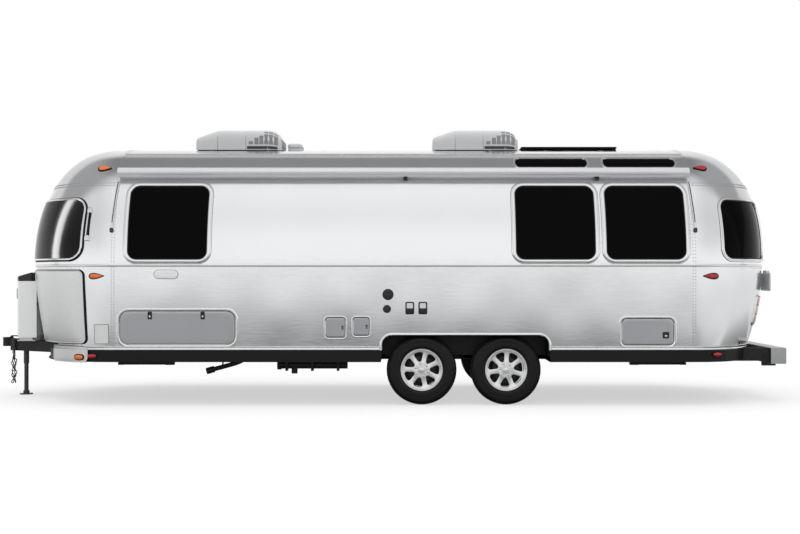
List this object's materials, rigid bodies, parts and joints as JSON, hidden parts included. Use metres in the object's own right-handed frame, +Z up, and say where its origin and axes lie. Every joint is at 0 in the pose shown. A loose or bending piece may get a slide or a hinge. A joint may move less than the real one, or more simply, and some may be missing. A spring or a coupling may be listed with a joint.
{
  "type": "travel caravan",
  "caption": "Riveted aluminium travel caravan with rounded ends, tandem axle, drawbar with jack, entry door, lockers and roof units.",
  "frame": {"origin": "centre of the bounding box at ground level, under the tyres", "axes": "+Z up, +X to the rear bumper, +Y to the kerb side with the entry door"},
  "size_m": [8.6, 2.662, 2.97],
  "materials": {
    "shell_aluminium": "satin riveted sheet",
    "trim_aluminium": "extruded, satin",
    "stone_guard_steel": "brushed",
    "chassis_paint": "satin black",
    "black_sheet": "matt black",
    "plywood": "plain",
    "white_paint": "gloss white",
    "dark_glass": "dark privacy glass",
    "black_gloss": "gloss black",
    "awning_metal": "satin light grey",
    "shroud_plastic": "light grey",
    "red_lens": "red lens",
    "amber_lens": "amber lens",
    "dark_plastic": "dark grey",
    "cabin_wood": "satin veneer",
    "bed_fabric": "quilted ticking",
    "jack_zinc": "zinc plated",
    "wheel_alloy": "machined alloy",
    "tyre_rubber": "matt black rubber"
  },
  "bodies": {
    "root": {"chassis_rails": "chassis_paint", "chassis_crossmembers": "chassis_paint", "drawbar": "chassis_paint", "coupler": "chassis_paint", "safety_chain": "chassis_paint", "floor_deck": "plywood", "belly_pan": "black_sheet", "wheel_wells": "black_sheet", "axles": "chassis_paint", "underbody_fittings": "chassis_paint", "bumper": "trim_aluminium", "lower_wall_left": "shell_aluminium", "lower_wall_right": "shell_aluminium", "upper_wall_left": "shell_aluminium", "upper_wall_right": "shell_aluminium", "roof_panel": "shell_aluminium", "front_cap_upper": "shell_aluminium", "front_cap_lower": "shell_aluminium", "rear_cap_upper": "shell_aluminium", "rear_cap_lower": "shell_aluminium", "trim_strips": "trim_aluminium", "window_frames": "trim_aluminium", "window_glass": "dark_glass", "window_guard": "black_gloss", "stone_guards": "stone_guard_steel", "awnings": "awning_metal", "air_conditioners": "shroud_plastic", "roof_fittings": "shroud_plastic", "tail_lamps": "red_lens", "amber_markers": "amber_lens", "plate_holder": "dark_plastic", "wall_fittings": "dark_plastic", "lockers": "trim_aluminium", "cabin_furniture": "cabin_wood", "bed_mattress": "bed_fabric", "gas_cylinders": "white_paint", "gas_cover": "white_paint", "jack_post": "chassis_paint"},
    "jack_leg": {"jack_leg": "jack_zinc"},
    "gas_cover_lid": {"gas_cover_lid": "black_gloss"},
    "entry_door": {"entry_door": "shell_aluminium", "door_glass": "dark_glass"},
    "entry_step": {"entry_step": "chassis_paint"},
    "front_locker_lid": {"front_locker_lid": "shell_aluminium"},
    "rear_locker_lid": {"rear_locker_lid": "shell_aluminium"},
    "service_lid_front": {"service_lid_front": "white_paint"},
    "service_lid_rear": {"service_lid_rear": "white_paint"},
    "wheel_front_left": {"wheel_front_left": "wheel_alloy", "tyre_front_left": "tyre_rubber"},
    "stabiliser_front_left": {"stabiliser_front_left": "chassis_paint"},
    "wheel_front_right": {"wheel_front_right": "wheel_alloy", "tyre_front_right": "tyre_rubber"},
    "stabiliser_front_right": {"stabiliser_front_right": "chassis_paint"},
    "wheel_rear_left": {"wheel_rear_left": "wheel_alloy", "tyre_rear_left": "tyre_rubber"},
    "stabiliser_rear_left": {"stabiliser_rear_left": "chassis_paint"},
    "wheel_rear_right": {"wheel_rear_right": "wheel_alloy", "tyre_rear_right": "tyre_rubber"},
    "stabiliser_rear_right": {"stabiliser_rear_right": "chassis_paint"}
  },
  "joints": [
    {"name": "wheel_front_left_spin", "type": "hinge", "parent": "root", "child": "wheel_front_left", "pos_m": [0.418, -1.1125, 0.365], "axis": [0, 1, 0], "continuous": true},
    {"name": "wheel_front_right_spin", "type": "hinge", "parent": "root", "child": "wheel_front_right", "pos_m": [0.418, 1.1125, 0.365], "axis": [0, 1, 0], "continuous": true},
    {"name": "wheel_rear_left_spin", "type": "hinge", "parent": "root", "child": "wheel_rear_left", "pos_m": [1.292, -1.1125, 0.365], "axis": [0, 1, 0], "continuous": true},
    {"name": "wheel_rear_right_spin", "type": "hinge", "parent": "root", "child": "wheel_rear_right", "pos_m": [1.292, 1.1125, 0.365], "axis": [0, 1, 0], "continuous": true},
    {"name": "entry_door_swing", "type": "hinge", "parent": "root", "child": "entry_door", "pos_m": [-1.4785, 1.302, 1], "axis": [0, 0, 1], "range_deg": [0, 150]},
    {"name": "entry_step_slide", "type": "slide", "parent": "root", "child": "entry_step", "axis": [0, 1, 0], "range_m": [0, 0.28]},
    {"name": "front_locker_lid_drop", "type": "hinge", "parent": "root", "child": "front_locker_lid", "pos_m": [-2.093, -1.295, 0.631], "axis": [1, 0, 0], "range_deg": [0, 110]},
    {"name": "rear_locker_lid_swing", "type": "hinge", "parent": "root", "child": "rear_locker_lid", "pos_m": [2.473, -1.295, 0.76], "axis": [0, 0, -1], "range_deg": [0, 120]},
    {"name": "service_lid_front_swing", "type": "hinge", "parent": "root", "child": "service_lid_front", "pos_m": [-0.57, -1.295, 0.8], "axis": [0, 0, -1], "range_deg": [0, 110]},
    {"name": "service_lid_rear_swing", "type": "hinge", "parent": "root", "child": "service_lid_rear", "pos_m": [-0.285, -1.295, 0.81], "axis": [0, 0, -1], "range_deg": [0, 110]},
    {"name": "gas_cover_lid_lift", "type": "hinge", "parent": "root", "child": "gas_cover_lid", "pos_m": [-4.101, 0, 1.287], "axis": [0, -1, 0], "range_deg": [0, 105]},
    {"name": "jack_leg_slide", "type": "slide", "parent": "root", "child": "jack_leg", "axis": [0, 0, 1], "range_m": [0, 0.28]},
    {"name": "stabiliser_front_left_lower", "type": "hinge", "parent": "root", "child": "stabiliser_front_left", "pos_m": [-2.25, -0.85, 0.414], "axis": [0, -1, 0], "range_deg": [0, 46]},
    {"name": "stabiliser_front_right_lower", "type": "hinge", "parent": "root", "child": "stabiliser_front_right", "pos_m": [-2.25, 0.85, 0.414], "axis": [0, -1, 0], "range_deg": [0, 46]},
    {"name": "stabiliser_rear_left_lower", "type": "hinge", "parent": "root", "child": "stabiliser_rear_left", "pos_m": [2.68, -0.85, 0.414], "axis": [0, 1, 0], "range_deg": [0, 46]},
    {"name": "stabiliser_rear_right_lower", "type": "hinge", "parent": "root", "child": "stabiliser_rear_right", "pos_m": [2.68, 0.85, 0.414], "axis": [0, 1, 0], "range_deg": [0, 46]}
  ]
}
